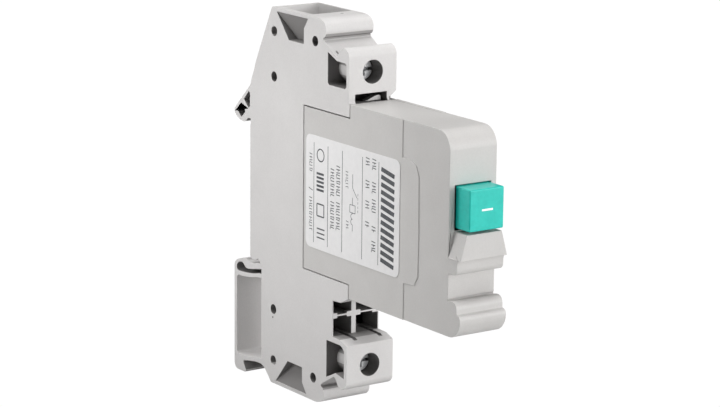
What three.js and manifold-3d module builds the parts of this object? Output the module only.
// Rail-mounted circuit breaker terminal with two screw clamps.
// Millimetres, +Z up, operator side towards -Y, width along X.
// The origin is the middle of the rail seat: the seat plane is y = 0, the rail's centre line z = 0.
import * as THREE from 'three';
import { mergeVertices } from 'three/addons/utils/BufferGeometryUtils.js';
import Module from 'manifold-3d';

const wasm = await Module();
wasm.setup();

// ---- Driving dimensions ----
const WIDTH = 12.3;
const NEAR = -WIDTH / 2;
const FAR = WIDTH / 2;
const WALL = 1.2;
const GAP = 0.05;
const SEAM = 0.25;
const COVER_FACE = 5.1;
const COVER_GAP = 0.08;
const INNER_NEAR = NEAR + WALL;
const PAST = 1;

const RAIL_HALF = 17.55;
const ROOT_RELIEF = 0.15;
const MIDDLE = 1.24;
const TOP = 43.98;
const HEAD_FRONT = -38.95;
const SCREW_Z = 33.5;
const SCREW_BORE = 2.575;

const BAY = { rear: -21.6, top: 24.25, bottom: -12.4, front: -39.3 };
const BREAKER = { top: 27.12, bottom: -15.38, front: -74.9, corner: 4.1, coverEnd: -57 };
const FRONT_STEP = 0.22;

const BUTTON = { x: 0.08, z: 11.45, width: 8.64, height: 8.7, front: -79.6, travel: 3.5 };
const SADDLE_FRONT = -4.4;

// ---- Materials ----
const material = (color, roughness, metalness = 0) =>
  new THREE.MeshStandardMaterial({ color, roughness, metalness });
const baseGrey = () => material(0xcfcdc9, 0.55);
const breakerGrey = () => material(0xb9b7b2, 0.5);
const steel = () => material(0xb8bcc0, 0.35, 1);
const darkSteel = () => material(0x6e7276, 0.45, 1);
const tinnedCopper = () => material(0xc9c6bd, 0.3, 1);
const copper = () => material(0xb87333, 0.35, 1);
const silver = () => material(0xd9d9d6, 0.3, 1);
const innerWhite = () => material(0xe6e3da, 0.6);

// ---- Solids ----
// A closed three.js geometry as a solid that can be joined and cut.
function solid(geometry) {
  const bare = geometry.index ? geometry.toNonIndexed() : geometry.clone();
  bare.deleteAttribute('normal');
  bare.deleteAttribute('uv');
  const merged = mergeVertices(bare, 1e-4);
  const mesh = new wasm.Mesh({
    numProp: 3,
    vertProperties: new Float32Array(merged.attributes.position.array),
    triVerts: new Uint32Array(merged.index.array),
  });
  return new wasm.Manifold(mesh);
}

// A box between two corners.
function box(x0, x1, y0, y1, z0, z1) {
  const geometry = new THREE.BoxGeometry(x1 - x0, y1 - y0, z1 - z0);
  return solid(geometry.translate((x0 + x1) / 2, (y0 + y1) / 2, (z0 + z1) / 2));
}

// A box whose lower and upper rectangles differ, each given as [x0, x1, y0, y1].
function taper(low, z0, high, z1) {
  const geometry = new THREE.BoxGeometry(1, 1, 1);
  const place = geometry.attributes.position;
  for (let i = 0; i < place.count; i += 1) {
    const [x0, x1, y0, y1] = place.getZ(i) < 0 ? low : high;
    const x = place.getX(i) < 0 ? x0 : x1;
    const y = place.getY(i) < 0 ? y0 : y1;
    place.setXYZ(i, x, y, place.getZ(i) < 0 ? z0 : z1);
  }
  return solid(geometry);
}

const outline = (points) => new THREE.Shape(points.map(([a, b]) => new THREE.Vector2(a, b)));
const toX = new THREE.Matrix4().set(0, 0, 1, 0, 1, 0, 0, 0, 0, 1, 0, 0, 0, 0, 0, 1);
const toY = new THREE.Matrix4().set(1, 0, 0, 0, 0, 0, -1, 0, 0, 1, 0, 0, 0, 0, 0, 1);

function extrude(points, depth) {
  return new THREE.ExtrudeGeometry(outline(points), { depth, bevelEnabled: false, steps: 1 });
}

// A (y, z) outline drawn out along X.
function prism(points, x0, x1) {
  return solid(extrude(points, x1 - x0).applyMatrix4(toX).translate(x0, 0, 0));
}

// An (x, z) outline drawn out along Y.
function prismY(points, y0, y1) {
  return solid(extrude(points, y1 - y0).applyMatrix4(toY).translate(0, y1, 0));
}

// Round bars along each axis.
function rodX(radius, y, z, x0, x1, sides = 20) {
  const geometry = new THREE.CylinderGeometry(radius, radius, x1 - x0, sides);
  return solid(geometry.rotateZ(Math.PI / 2).translate((x0 + x1) / 2, y, z));
}
function rodY(radius, x, z, y0, y1, sides = 28) {
  const geometry = new THREE.CylinderGeometry(radius, radius, y1 - y0, sides);
  return solid(geometry.translate(x, (y0 + y1) / 2, z));
}
function rodZ(radius, x, y, z0, z1, sides = 20) {
  const geometry = new THREE.CylinderGeometry(radius, radius, z1 - z0, sides);
  return solid(geometry.rotateX(Math.PI / 2).translate(x, y, (z0 + z1) / 2));
}

const join = (first, ...rest) => rest.reduce((sum, part) => sum.add(part), first);
const cut = (first, ...rest) => rest.reduce((left, part) => left.subtract(part), first);

// Points on an arc about (a, b), angles in degrees.
function arc(a, b, radius, from, to, steps) {
  const points = [];
  for (let i = 0; i <= steps; i += 1) {
    const angle = THREE.MathUtils.degToRad(from + ((to - from) * i) / steps);
    points.push([a + radius * Math.cos(angle), b + radius * Math.sin(angle)]);
  }
  return points;
}

// An outline with its corners rounded off: each corner's curve starts this far before the corner
// and ends as far after it. A point's third value is its own distance, 0 where it stays sharp.
function eased(points, cut, steps = 3) {
  const corners = points.map(([a, b]) => new THREE.Vector2(a, b));
  return corners.flatMap((corner, i) => {
    const before = corners.at(i - 1);
    const after = corners[(i + 1) % corners.length];
    const back = corner.distanceTo(before);
    const on = corner.distanceTo(after);
    const reach = Math.min(points[i][2] ?? cut, 0.45 * back, 0.45 * on);
    if (reach === 0) return [[corner.x, corner.y]];
    const start = corner.clone().lerp(before, reach / back);
    const end = corner.clone().lerp(after, reach / on);
    const curve = new THREE.QuadraticBezierCurve(start, corner, end);
    return curve.getPoints(steps).map((point) => [point.x, point.y]);
  });
}

// An outline drawn in by the same margin all round.
function inset(points, margin) {
  const corners = points.map(([a, b]) => new THREE.Vector2(a, b));
  return corners.map((corner, i) => {
    const into = corner.clone().sub(corners.at(i - 1)).normalize();
    const out = corners[(i + 1) % corners.length].clone().sub(corner).normalize();
    const miter = margin / (1 + into.dot(out));
    return [corner.x - miter * (into.y + out.y), corner.y + miter * (into.x + out.x)];
  });
}

// The base is the same above and below its middle height.
const mirrored = ([y, z]) => [y, 2 * MIDDLE - z];
const flip = (points) => points.map(mirrored).reverse();

const model = new THREE.Group();

function add(name, body, finish) {
  const { vertProperties, triVerts } = body.getMesh();
  const geometry = new THREE.BufferGeometry();
  geometry.setAttribute('position', new THREE.BufferAttribute(new Float32Array(vertProperties), 3));
  geometry.setIndex(new THREE.BufferAttribute(new Uint32Array(triVerts), 1));
  geometry.computeVertexNormals();
  const mesh = new THREE.Mesh(geometry, finish);
  mesh.name = name;
  model.add(mesh);
}

// ---- Base outline, in the side plane ----
// Marker nose, groove and terminal head at one end, from the base's end face to the head's front.
const endProfile = eased([
  [-8.8, TOP, 0],
  [-27.6, TOP],
  [-29.4, 43.35],
  [-30.2, 42.3],
  [-30.25, 40.9, 0.5],
  [-29.75, 40.1, 0.15],
  [-29.05, 39.8, 0.1],
  [-29.35, 39.25, 0.3],
  [-34.3, 36.4],
  [-35.1, 37.4],
  [-35.7, 38.3],
  [-36.6, 38.8],
  [-37.3, 38.8],
  [-38.4, 38.2],
  [HEAD_FRONT, 37.3],
  [HEAD_FRONT, 36, 0],
], 0.9);
const HEAD_TOP = { step: -36.35, high: -25.2, low: -26.15, back: -33.4 };
const POCKET_TOP = -17.1;

const baseOutline = [
  ...endProfile,
  [HEAD_FRONT, 27.5],
  [BAY.front, 27.2],
  [BAY.front, BAY.top],
  [BAY.rear, BAY.top],
  [BAY.rear, BAY.bottom],
  [BAY.front, BAY.bottom],
  [BAY.front, -15.5],
  [-36.4, -16.9],
  [HEAD_TOP.back, POCKET_TOP],
  [HEAD_TOP.back, -25.1],
  [HEAD_TOP.step, HEAD_TOP.high],
  [HEAD_FRONT + 0.2, HEAD_TOP.low + 0.15],
  [HEAD_FRONT, HEAD_TOP.low],
  ...flip(endProfile),
  [-6.1, -38.8],
  [-4.75, -38.3],
  [-4.75, -15.3],
  [-3.4, -14.0],
  [-2.4, -14.5],
  [-0.9, -14.7],
  [0, -13.9],
  [0, 16.2],
  [-ROOT_RELIEF, 16.3],
  [-ROOT_RELIEF, RAIL_HALF],
  [1.05, RAIL_HALF],
  [1.7, 16.75],
  [2.9, 16.45],
  [4.4, 16.7],
  ...arc(5.35, 18.55, 1.25, -60, 30, 8),
  [0.1, 25.2],
  [-2.45, 31.3],
];

// ---- Base shell: near side plate with all the base's walls and its far rim ----
const PEGS = [[-9.8, 38.7], [-26, 38.75], [-9.8, 28.6], [-9.8, -24.3], [-9.8, -36.2], [-26, -36.25]];
const CHAMBER = { front: -28.6, rear: -9.6, low: 28.8, high: 36.8 };
const BAR = { front: -20.2, rear: -18.8, half: 3, pad: -18.7, padHalf: 2.6 };
const TAB = { half: 2.6, thick: 1.2, lineZ: 13, loadZ: -5.4 };

// Everything that one screw terminal takes out of the shell; end = 1 above, -1 below.
function terminalCuts(end) {
  const z = (value) => (end > 0 ? value : 2 * MIDDLE - value);
  const low = Math.min(z(CHAMBER.low), z(CHAMBER.high));
  const high = Math.max(z(CHAMBER.low), z(CHAMBER.high));
  const chamber = box(INNER_NEAR, COVER_FACE + PAST, CHAMBER.front, CHAMBER.rear, low, high);
  const throat = [-2.6, 4.35, -21.5, -11.4];
  const mouth = [-4.5, 5.85, -22.6, -9.1];
  const funnel = end > 0
    ? taper(throat, CHAMBER.high - 0.2, mouth, TOP + 0.02)
    : taper(mouth, z(TOP + 0.02), throat, z(CHAMBER.high - 0.2));
  const bore = rodY(SCREW_BORE, 0, z(SCREW_Z), HEAD_FRONT - PAST, CHAMBER.front + PAST);
  const slot = [Math.min(z(26), z(29)), Math.max(z(26), z(29))];
  const barSlot = box(-3.4, 3.4, -20.5, -18.4, slot[0], slot[1]);
  return [chamber, funnel, bore, barSlot];
}

// The sloping side recess that follows the funnel's narrowing.
const RECESS_DEEP = 2.6;
function funnelRecess(end) {
  const shape = [[-10.9, 43.2], [-15.7, 37.5], [-21.5, 37.5], [-21.55, 40.9], [-23.2, 43.2]];
  const recess = prism(end > 0 ? shape : flip(shape), NEAR - PAST, NEAR + RECESS_DEEP);
  const z0 = end > 0 ? 37 : 2 * MIDDLE - 43.3;
  const z1 = end > 0 ? 43.3 : 2 * MIDDLE - 37;
  const deep = [NEAR - PAST - 1, NEAR + RECESS_DEEP, -24, -10];
  const flush = [NEAR - PAST - 1, NEAR, -24, -10];
  const wedge = end > 0 ? taper(deep, z0, flush, z1) : taper(flush, z0, deep, z1);
  return recess.intersect(wedge);
}

// The head's side window, with the screw's guide tube left standing inside it.
function headWindow(end) {
  const upper = [
    [-30.95, 37.1], [-34.35, 35.65], [-37.4, 35.6], [-37.95, 35.1],
    [-37.95, 30.5], [-37.5, 30.1], [-31.5, 30.1], [-30.95, 30.5],
  ];
  const lower = [
    [-31.2, -34.75], [-34.75, -33.05], [-37.95, -33.6],
    [-37.95, -27.4], [-37.2, -26.75], [-36.3, -26.4], [-31.2, -26.4],
  ];
  const z = end > 0 ? SCREW_Z : 2 * MIDDLE - SCREW_Z;
  const opening = prism(end > 0 ? upper : lower, NEAR - PAST, COVER_FACE);
  return cut(opening, rodY(SCREW_BORE + 0.75, 0, z, HEAD_FRONT, CHAMBER.front));
}

// Two by two shafts for plug-in bridges, open to the front.
const SHAFT = { deep: -21.2, rib: [-1.15, 0.08], half: 5.85, web: -20.6, low: -25.1, high: -17.1 };
function bridgeShafts() {
  const columns = [[-SHAFT.half, SHAFT.rib[0]], [SHAFT.rib[1], SHAFT.half]];
  const rows = [[SHAFT.low, SHAFT.web - 0.2], [SHAFT.web + 0.2, SHAFT.high]];
  const shafts = [];
  for (const [x0, x1] of columns) {
    for (const [z0, z1] of rows) {
      shafts.push(box(x0, x1, HEAD_TOP.back - PAST, SHAFT.deep, z0, z1));
    }
  }
  return shafts;
}
function shaftNubs() {
  const spans = [
    [-SHAFT.half - 0.1, -4.8],
    [SHAFT.rib[0] - 1.2, SHAFT.rib[0] + 0.1],
    [SHAFT.rib[1] - 0.1, SHAFT.rib[1] + 1.2],
    [4.4, SHAFT.half + 0.1],
  ];
  return spans.map(([x0, x1]) => box(x0, x1, HEAD_TOP.back, -32.2, SHAFT.web - 0.6, SHAFT.web + 0.6));
}

// Two slits run out of the shafts' floor into the head's slope, and close there.
const slitShape = [[-28, -24.5], [-37.5, -24.5], [-37.5, -25.55], [-35, -25.9], [-28, -25.9]];
const headSlits = [-3, 3.6].map((x) => prism(slitShape, x, x + 0.9));

// Hook windows: a triangle and a diamond that leave a truss.
const hookTriangle = [[0.65, 23.75], [0.15, 23.2], [0.15, 20.4], [0.65, 19.9], [2.65, 21.6]];
const hookDiamond = [[3.8, 20.5], [2.2, 19.3], [2.25, 18.6], [3.7, 17.35], [5.5, 18.75]];

// Small stiffening cells behind the bay.
function cells() {
  const list = [];
  const pitch = 8.7;
  for (const y of [-15.4, -8.2]) {
    for (let i = 0; i < 4; i += 1) {
      const z = -10.6 + i * pitch;
      list.push(box(INNER_NEAR, COVER_FACE + PAST, y, y + 6.4, z, z + pitch - WALL));
    }
  }
  return list;
}

const barChannel = box(INNER_NEAR, COVER_FACE + PAST, -20.5, -16.6, -23.7, 26.2);
const slotSide = TAB.half + 0.3;
const tabSlot = (z) => box(-slotSide, slotSide, BAY.rear - PAST, -20.4, z - 0.3, z + TAB.thick + 0.3);

// The notch under the upper head's front face, over the breaker's top.
const headNotch = box(-4.5, 3.65, HEAD_FRONT - PAST, -35.5, 27, 28.95);
const headNotchDeep = box(-3.8, 3.2, -35.8, -32.4, 26.4, 28.6);
// A low ramp stands on the notch's floor.
const notchRampShape = [
  [-0.9, 26.9],
  [3.1, 26.9],
  [3.1, 27.8],
  [2.6, 28.1],
  [1.5, 27.9],
  [0.2, 27.4],
  [-0.9, 27.02],
];
const notchRamp = prismY(notchRampShape, -37.5, -36);
const farFootShape = [[5.35, 28.3], [6.6, 29.4], [6.6, 27], [4.2, 27], [4.2, 27.7]];
const farFoot = prismY(farFootShape, HEAD_FRONT - PAST, -36.9);

// The cover plate's outline; it lies flush in a recess in the shell's far side.
const coverOutline = [
  [-8.4, 40.8],
  [-27.2, 40.8],
  [-28.3, 39.8],
  [-28.3, 38.6],
  [-29.3, 37.4],
  [-29.3, 25.5],
  [-20.8, 25.5],
  [-20.8, -26.2],
  [-29.3, -26.2],
  [-29.3, -34.92],
  [-28.3, -36.12],
  [-28.3, -37.32],
  [-27.2, -38.32],
  [-7, -38.32],
  [-6, -37.6],
  [-6, -14.6],
  [-1.2, -12.6],
  [-1.2, 24.6],
  [-3.6, 31],
];

const shellBlank = prism(baseOutline, NEAR, FAR);
const pegHoles = PEGS.map(([y, z]) => rodX(1.12, y, z, NEAR - PAST, COVER_FACE + PAST, 16));
const baseShell = join(
  cut(
    shellBlank,
    ...terminalCuts(1),
    ...terminalCuts(-1),
    funnelRecess(1),
    funnelRecess(-1),
    headWindow(1),
    headWindow(-1),
    ...bridgeShafts(),
    prism(hookTriangle, NEAR - PAST, FAR + PAST),
    prism(hookDiamond, NEAR - PAST, FAR + PAST),
    ...cells(),
    barChannel,
    tabSlot(TAB.lineZ),
    tabSlot(TAB.loadZ),
    ...pegHoles,
    ...headSlits,
    headNotch,
    headNotchDeep,
    farFoot,
    prism(coverOutline, COVER_FACE, FAR + PAST),
  ),
  ...shaftNubs(),
  notchRamp,
);
add('base_shell', baseShell, baseGrey());

// ---- Base cover: far side plate with six pegs ----
const coverPlate = prism(inset(coverOutline, COVER_GAP), COVER_FACE + GAP, FAR);
const coverPegs = PEGS.map(([y, z]) => rodX(1.0, y, z, COVER_FACE - 3, COVER_FACE + 0.5, 16));
add('base_cover', join(coverPlate, ...coverPegs), baseGrey());

// ---- Rail foot: the sprung loop that snaps behind the rail's lower edge ----
const FOOT = { back: 6.7, inner: 5.6, floor: -41.9 };
const footOutline = eased([
  [SADDLE_FRONT, -15.0, 0],
  [-3.3, -14.9],
  [-2.3, -15.3],
  [-0.9, -15.55],
  [0.4, -15.5],
  [1.25, -15.25],
  [1.35, -14.8],
  [4.3, -15.5],
  [5.7, -16.0],
  [6.5, -16.7],
  [FOOT.back, -17.6],
  [FOOT.back, -40.8],
  [5.9, FOOT.floor],
  [2.2, FOOT.floor],
  [1.55, -41.5],
  [3.15, -39.2],
  [1.2, -38.95],
  [-2.3, -38.35],
  [SADDLE_FRONT, -38.3, 0],
  [SADDLE_FRONT, -36.95, 0],
  [-1.3, -37.5],
  [1.2, -37.9],
  [3.6, -38.15],
  [FOOT.inner, -38.1],
  [FOOT.inner, -19.5],
  [3.65, -19.5],
  [1.5, -19.3],
  [-1.25, -18.8],
  [-2.85, -18.4],
  [SADDLE_FRONT, -18.3, 0],
  [SADDLE_FRONT, -17.2, 0],
  [-3.8, -17.3],
  [-1.25, -17.9],
  [2.0, -18.3],
  [4.8, -18.45],
  [5.6, -18.25],
  [FOOT.inner, -17.1],
  [4.9, -16.5],
  [3.65, -16.15],
  [2.85, -16.35],
  [2.2, -17.0],
  [1.2, -17.3],
  [-1.25, -16.95],
  [SADDLE_FRONT, -16.1, 0],
], 1.1);
add('rail_foot', prism(footOutline.reverse(), NEAR, FAR), baseGrey());

// ---- Screw terminals ----
const SLEEVE = { half: 4.2, wall: 0.9, tall: 6.4, front: -24.4, rear: -10.9, frontThick: 2.4, rearThick: 1.2 };
const SCREW = { face: -35.3, head: 2.6, headRadius: 2.3, radius: 1.95 };

function terminal(name, end) {
  const z = end > 0 ? SCREW_Z : 2 * MIDDLE - SCREW_Z;
  const { half, front, rear, tall } = SLEEVE;
  const frame = box(-half, half, front, rear, z - tall / 2, z + tall / 2);
  const room = box(
    -half + SLEEVE.wall,
    half - SLEEVE.wall,
    front + SLEEVE.frontThick,
    rear - SLEEVE.rearThick,
    z - tall,
    z + tall,
  );
  const thread = rodY(SCREW.radius + 0.12, 0, z, front - PAST, front + SLEEVE.frontThick + 0.5);
  add(`${name}_clamp_sleeve`, cut(frame, room, thread), steel());

  const head = rodY(SCREW.headRadius, 0, z, SCREW.face, SCREW.face + SCREW.head);
  const shank = rodY(SCREW.radius, 0, z, SCREW.face + SCREW.head - 0.1, BAR.front - 0.15, 20);
  const slot = box(-3, 3, SCREW.face - PAST, SCREW.face + 1.3, z - 0.35, z + 0.35);
  const cross = box(-0.45, 0.45, SCREW.face - PAST, SCREW.face + 1.6, z - 1.5, z + 1.5);
  add(`${name}_clamp_screw`, cut(join(head, shank), slot, cross), steel());
}
terminal('upper', 1);
terminal('lower', -1);

// ---- Busbars: from each clamp down to the breaker's tab, with a raised pad for the conductor ----
const PAD = [29, 36.3];
function busbar(name, zWire, zTab, holes) {
  const strip = box(-BAR.half, BAR.half, BAR.front, BAR.rear, Math.min(zWire, zTab), Math.max(zWire, zTab));
  const [low, high] = zWire > zTab ? PAD : [2 * MIDDLE - PAD[1], 2 * MIDDLE - PAD[0]];
  const pad = box(-BAR.padHalf, BAR.padHalf, BAR.front + 0.5, BAR.pad, low, high);
  add(name, cut(join(strip, pad), ...holes), tinnedCopper());
}
const bridgeHoles = [];
for (const x of [-2.1, 2.1]) {
  for (const z of [-23, -18.8]) {
    bridgeHoles.push(box(x - 0.6, x + 0.6, BAR.front - PAST, BAR.rear + PAST, z - 1, z + 1));
  }
}
busbar('upper_busbar', 36.8, 12, []);
busbar('lower_busbar', -34.3, -3.2, bridgeHoles);

// ---- Breaker case ----
const IN = SEAM;
const SHOULDER_GAP = 0.18;
const bandProfile = eased([
  [BREAKER.front, 1.2, 0],
  [-78.2, 1.2],
  [-77.9, 0.3],
  [-77.9, -1.1],
  [-77.6, -1.75],
  [-77.1, -2.05],
  [BREAKER.front, -2.2, 0],
], 0.45);
const bulgeProfile = eased([
  [BREAKER.front, -7.5, 0],
  [BREAKER.front + ROOT_RELIEF, -7.6, 0],
  [BREAKER.front + ROOT_RELIEF, -7.95, 0],
  [-76.5, -7.6],
  [-77.4, -7.95],
  [-77.95, -8.8],
  [-77.95, -10.25],
  [-78.75, -10.3],
  [-79.15, -11.0],
  [-79.15, -12.2],
  [-78.5, -13.7],
  [-77.5, -14.75],
  [-76.3, -15.3],
  [-75.3, BREAKER.bottom],
  [-74.4, BREAKER.bottom, 0],
], 0.7);
const cornerY = BREAKER.front + BREAKER.corner;
const cornerZ = BREAKER.top - BREAKER.corner;
const breakerOutline = [
  [BAY.rear - IN, BAY.top - IN],
  [BAY.front - SHOULDER_GAP, BAY.top - IN],
  [BAY.front - SHOULDER_GAP, BREAKER.top],
  ...arc(cornerY, cornerZ, BREAKER.corner, 90, 180, 14),
  ...bandProfile,
  ...bulgeProfile,
  [BAY.front - SHOULDER_GAP, BREAKER.bottom],
  [BAY.front - SHOULDER_GAP, BAY.bottom + IN],
  [BAY.rear - IN, BAY.bottom + IN],
];

// The flush flank behind the front grip: full-thickness plate and the thinner front part.
const CASE_FAR = 5.0;
const FRONT_NEAR = NEAR + FRONT_STEP;
const FRONT_FAR = FAR - FRONT_STEP;
const plateauEdge = [
  [-10, 30],
  [-58.7, 30],
  [-58.7, 19.1],
  [-61.8, 19.1],
  [-63.6, 18.2],
  [-64.55, 16],
  [-64.75, 3],
  [-64.6, -5],
  [-63.4, -7.2],
  [-59.6, -7.5],
  [-59.6, -20],
  [-10, -20],
];
const thinner = cut(
  box(NEAR - PAST, FRONT_NEAR, -90, -10, -30, 40),
  prism(plateauEdge, NEAR - 2 * PAST, FRONT_NEAR + PAST),
);

const wedgeShape = [[-4.45, 6.45], [-5.93, 1.1], [5.93, 1.1], [4.45, 6.45]];
const wedge = prismY(wedgeShape, -79.1, BREAKER.front + 0.5);
const cavity = [
  [-23.1, 22.7],
  [-40.5, 22.7],
  [-40.5, 25.8],
  [-70.5, 25.8],
  [-73.2, 22.8],
  [-73.2, -14.0],
  [-40.5, -14.0],
  [-40.5, -10.9],
  [-23.1, -10.9],
];
const buttonHole = box(
  BUTTON.x - BUTTON.width / 2 - 0.2,
  BUTTON.x + BUTTON.width / 2 + 0.2,
  BREAKER.front - PAST,
  -73,
  BUTTON.z - BUTTON.height / 2 - 0.2,
  BUTTON.z + BUTTON.height / 2 + 0.2,
);
const caseTabSlot = (z) => box(-TAB.half - 0.2, TAB.half + 0.2, -23.5, BAY.rear, z - 0.2, z + TAB.thick + 0.2);

const rearBlock = prism(breakerOutline, NEAR, CASE_FAR);
const frontBlock = prism(breakerOutline, CASE_FAR - 0.5, FRONT_FAR).intersect(
  box(NEAR, FAR, -90, BREAKER.coverEnd, -30, 40),
);
const hollowRear = prism(cavity, INNER_NEAR, CASE_FAR + PAST).intersect(
  box(-10, 10, BREAKER.coverEnd, 0, -30, 40),
);
const hollowFront = prism(cavity, INNER_NEAR, FRONT_FAR - WALL);
const springPost = rodY(1.3, BUTTON.x, BUTTON.z, -62.4, -59.4, 16);
const springWall = box(INNER_NEAR - 0.2, 2.3, -60, -58.8, 9.3, 13.6);
const breakerCase = join(
  cut(
    join(rearBlock, frontBlock, wedge),
    thinner,
    hollowRear,
    hollowFront,
    buttonHole,
    caseTabSlot(TAB.lineZ),
    caseTabSlot(TAB.loadZ),
  ),
  springWall,
  springPost,
);
add('breaker_case', breakerCase, breakerGrey());

// ---- Breaker cover: far side plate, ending behind the front part ----
const breakerCover = prism(breakerOutline, CASE_FAR + GAP, FAR).intersect(
  box(0, FAR, BREAKER.coverEnd + GAP, 0, -30, 40),
);
add('breaker_cover', breakerCover, breakerGrey());

// ---- Rating label ----
const LABEL = { rear: -22.9, front: -58.1, top: 18.3, bottom: -6.8, corner: 1.6, thick: 0.1 };
function roundedRect(a0, a1, b0, b1, r, steps = 4) {
  return [
    ...arc(a1 - r, b1 - r, r, 0, 90, steps),
    ...arc(a0 + r, b1 - r, r, 90, 180, steps),
    ...arc(a0 + r, b0 + r, r, 180, 270, steps),
    ...arc(a1 - r, b0 + r, r, 270, 360, steps),
  ];
}
const labelShape = roundedRect(LABEL.front, LABEL.rear, LABEL.bottom, LABEL.top, LABEL.corner);
add('rating_label', prism(labelShape, NEAR - 0.02 - LABEL.thick, NEAR - 0.02), material(0xf2f2f0, 0.45));

// ---- Push button with its stem and return spring ----
const stemEnd = -64;
const buttonCap = box(
  BUTTON.x - BUTTON.width / 2,
  BUTTON.x + BUTTON.width / 2,
  BUTTON.front,
  -72.6,
  BUTTON.z - BUTTON.height / 2,
  BUTTON.z + BUTTON.height / 2,
);
const buttonFlange = box(-4.8, 4.6, -72.9, -71.8, BUTTON.z - 4.9, BUTTON.z + 4.9);
const springRoom = rodY(2.6, BUTTON.x, BUTTON.z, -70.8, -60, 20);
const stem = cut(
  box(BUTTON.x - 3.4, BUTTON.x + 3.4, -72, stemEnd, BUTTON.z - 3.4, BUTTON.z + 3.4),
  springRoom,
);
add('push_button', join(buttonCap, buttonFlange, stem), material(0x12bfa6, 0.35));

// A helical spring: its wire runs round an axis along Y or X, from one end to the other.
class Helix extends THREE.Curve {
  constructor(axis, radius, turns, a, b, from, to) {
    super();
    Object.assign(this, { axis, radius, turns, a, b, from, to });
  }

  getPoint(t) {
    const angle = 2 * Math.PI * this.turns * t;
    const along = this.from + (this.to - this.from) * t;
    const across = this.a + this.radius * Math.cos(angle);
    const up = this.b + this.radius * Math.sin(angle);
    return this.axis === 'x' ? new THREE.Vector3(along, across, up) : new THREE.Vector3(across, along, up);
  }
}
const polygon = (radius, sides) => arc(0, 0, radius, 0, 360 - 360 / sides, sides - 1);
function sweep(radius, sides, steps, path) {
  return solid(new THREE.ExtrudeGeometry(outline(polygon(radius, sides)), { steps, extrudePath: path }));
}
function spring(name, axis, radius, wire, turns, a, b, from, to) {
  const path = new Helix(axis, radius, turns, a, b, from + wire, to - wire);
  add(name, sweep(wire, 6, turns * 10, path), steel());
}
spring('button_spring', 'y', 1.95, 0.22, 6, BUTTON.x, BUTTON.z, -70.6, -60.15);

// ---- Breaker mechanism ----
const ARM = { y: -50, z: 7, reach: -34.5 };
const LATCH = { y: -59, z: 1.2 };
const TRIP = { y: -55.5, z: 3.4 };
const PIN = 0.9;
const pinSpan = [INNER_NEAR + GAP, FRONT_FAR - WALL - GAP];

const eye = (pivot, radius, x0, x1) => rodX(radius, pivot.y, pivot.z, x0, x1);
const pinHole = (pivot) => rodX(PIN + 0.12, pivot.y, pivot.z, -6, 6);

// The line tab carries the fixed contact; the arm below it carries the moving one.
const lineTab = box(-TAB.half, TAB.half, -38.2, -20.5, TAB.lineZ, TAB.lineZ + TAB.thick);
add('line_tab', lineTab, tinnedCopper());
add('fixed_contact', rodZ(1.4, 0, -36.2, TAB.lineZ - 0.75, TAB.lineZ - GAP, 16), silver());

const arm = cut(
  join(
    box(-1.5, 1.5, ARM.y, ARM.reach, ARM.z - 0.9, ARM.z + 0.9),
    eye(ARM, 2, -1.5, 1.5),
    box(-1.5, 1.5, ARM.y - 3.2, ARM.y, ARM.z - 1.2, ARM.z + 0.4),
  ),
  pinHole(ARM),
);
add('contact_arm', arm, copper());
add('moving_contact', rodZ(1.4, 0, -36.2, ARM.z + 0.9 + GAP, ARM.z + 1.7, 16), silver());
add('arm_pivot_pin', rodX(PIN, ARM.y, ARM.z, ...pinSpan), steel());
spring('contact_spring', 'x', 1.4, 0.2, 4, ARM.y, ARM.z, 1.7, 4.5);

const latchShape = [
  [-59.7, 0],
  [-58.3, 0],
  [-58.3, 5],
  [-61.2, 8.2],
  [-61.2, 14],
  [-62.6, 14],
  [-62.6, 7.6],
  [-59.7, 4.4],
];
const latch = cut(join(eye(LATCH, 1.8, 2.6, 4.4), prism(latchShape, 2.6, 3.8)), pinHole(LATCH));
add('latch_lever', latch, darkSteel());
add('latch_pivot_pin', rodX(PIN, LATCH.y, LATCH.z, ...pinSpan), steel());
spring('latch_spring', 'x', 1.4, 0.2, 3, LATCH.y, LATCH.z, 0.1, 2.4);

const trip = cut(
  join(
    eye(TRIP, 1.7, -4.4, -2.2),
    box(-4.4, -2.2, TRIP.y - 0.7, TRIP.y + 0.7, -5, TRIP.z),
    box(-4.4, 1.4, TRIP.y - 0.7, TRIP.y + 0.7, -5, -1.2),
  ),
  pinHole(TRIP),
);
add('trip_lever', trip, darkSteel());
add('trip_pivot_pin', rodX(PIN, TRIP.y, TRIP.z, ...pinSpan), steel());
spring('trip_spring', 'x', 1.4, 0.2, 3, TRIP.y, TRIP.z, -2, 0.4);

// ---- Magnetic release: coil, bobbin, yoke and plunger ----
const COIL = { z: -3.2, rear: -35.2, front: -48.2, outer: 4.1, inner: 2.75 };
function ring(outer, inner, y0, y1) {
  return cut(rodY(outer, 0, COIL.z, y0, y1, 24), rodY(inner, 0, COIL.z, y0 - PAST, y1 + PAST, 24));
}
const TURNS = 9;
const wirePitch = (COIL.rear - COIL.front - 2.2) / TURNS;
const coilProfile = [];
for (let i = 0; i < TURNS; i += 1) {
  const start = COIL.front + 1.1 + i * wirePitch;
  coilProfile.push([COIL.outer - 0.35, start], [COIL.outer, start + 0.3 * wirePitch]);
  coilProfile.push([COIL.outer, start + 0.7 * wirePitch]);
}
coilProfile.push([COIL.outer - 0.35, COIL.rear - 1.1], [COIL.inner, COIL.rear - 1.1]);
coilProfile.push([COIL.inner, COIL.front + 1.1]);
const coilRing = coilProfile.map(([r, y]) => new THREE.Vector2(r, y));
coilRing.push(coilRing[0].clone());
add('magnet_coil', solid(new THREE.LatheGeometry(coilRing, 24).translate(0, 0, COIL.z)), copper());

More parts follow.
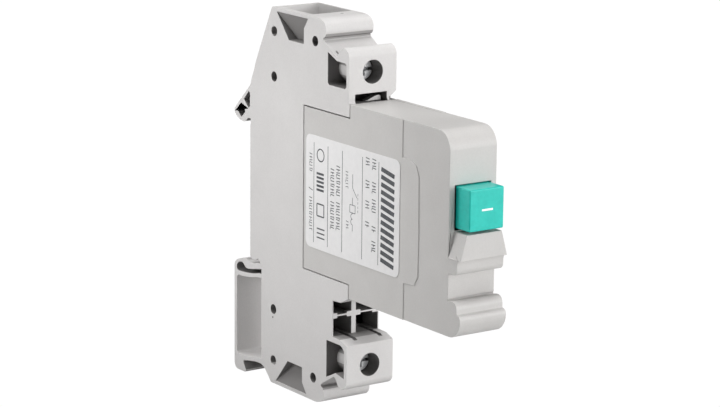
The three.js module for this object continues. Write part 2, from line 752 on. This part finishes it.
const bobbin = join(
  ring(2.65, 2.05, COIL.front, COIL.rear),
  ring(4.1, 2.05, COIL.front, COIL.front + 1),
  ring(4.1, 2.05, COIL.rear - 1, COIL.rear),
);
add('coil_bobbin', bobbin, innerWhite());

const yoke = cut(
  join(
    box(-3.6, 3.6, COIL.rear + GAP, COIL.rear + 1.25, -8.9, 0.5),
    box(-3.6, 3.6, COIL.front - 1.25, COIL.front - GAP, -8.9, 0.5),
    box(-3.6, 3.6, COIL.front - 1.25, COIL.rear + 1.25, -8.9, -7.7),
  ),
  rodY(2.05, 0, COIL.z, COIL.front - 2, COIL.front + PAST, 24),
);
add('magnet_yoke', yoke, darkSteel());

const plunger = join(
  rodY(1.85, 0, COIL.z, COIL.front + 0.6, -40.2, 20),
  rodY(1.0, 0, COIL.z, -54.4, COIL.front + 1, 16),
);
add('magnet_plunger', plunger, steel());
spring('plunger_spring', 'y', 1.5, 0.18, 4, 0, COIL.z, -40.0, COIL.rear - 0.1);

// ---- Thermal release: load tab, bimetal strip, holder and setting screw ----
const loadTab = box(-TAB.half, TAB.half, -31, -20.5, TAB.loadZ, TAB.loadZ + TAB.thick);
add('load_tab', loadTab, tinnedCopper());
const bimetalZ = -10.6;
add('bimetal_holder', box(-2.4, 2.4, -53.4, -50.6, bimetalZ + 0.85, bimetalZ + 2.1), darkSteel());
add('bimetal_strip', box(-2.2, 2.2, -69.4, -50.8, bimetalZ, bimetalZ + 0.8), material(0x9a8f7d, 0.4, 1));
const settingScrew = cut(
  join(rodZ(1.1, 0, -55.6, -13.9, bimetalZ - GAP, 16), rodZ(1.7, 0, -55.6, -13.95, -12.9, 16)),
  box(-2, 2, -55.85, -55.35, -14.5, -13.5),
);
add('setting_screw', settingScrew, steel());

// The braid joins the bimetal's free end to the contact arm's tail.
const braidRoute = new THREE.CatmullRomCurve3([
  new THREE.Vector3(3.3, -66.5, -9.3),
  new THREE.Vector3(3.5, -66, -5.5),
  new THREE.Vector3(3.7, -63.5, -2.6),
  new THREE.Vector3(3.7, -60.4, -2.2),
  new THREE.Vector3(3.4, -56.5, -3.4),
  new THREE.Vector3(3.2, -53.2, -1),
  new THREE.Vector3(2.6, -52.6, 2.6),
]);
add('flexible_braid', sweep(0.6, 8, 24, braidRoute), copper());

export default model;
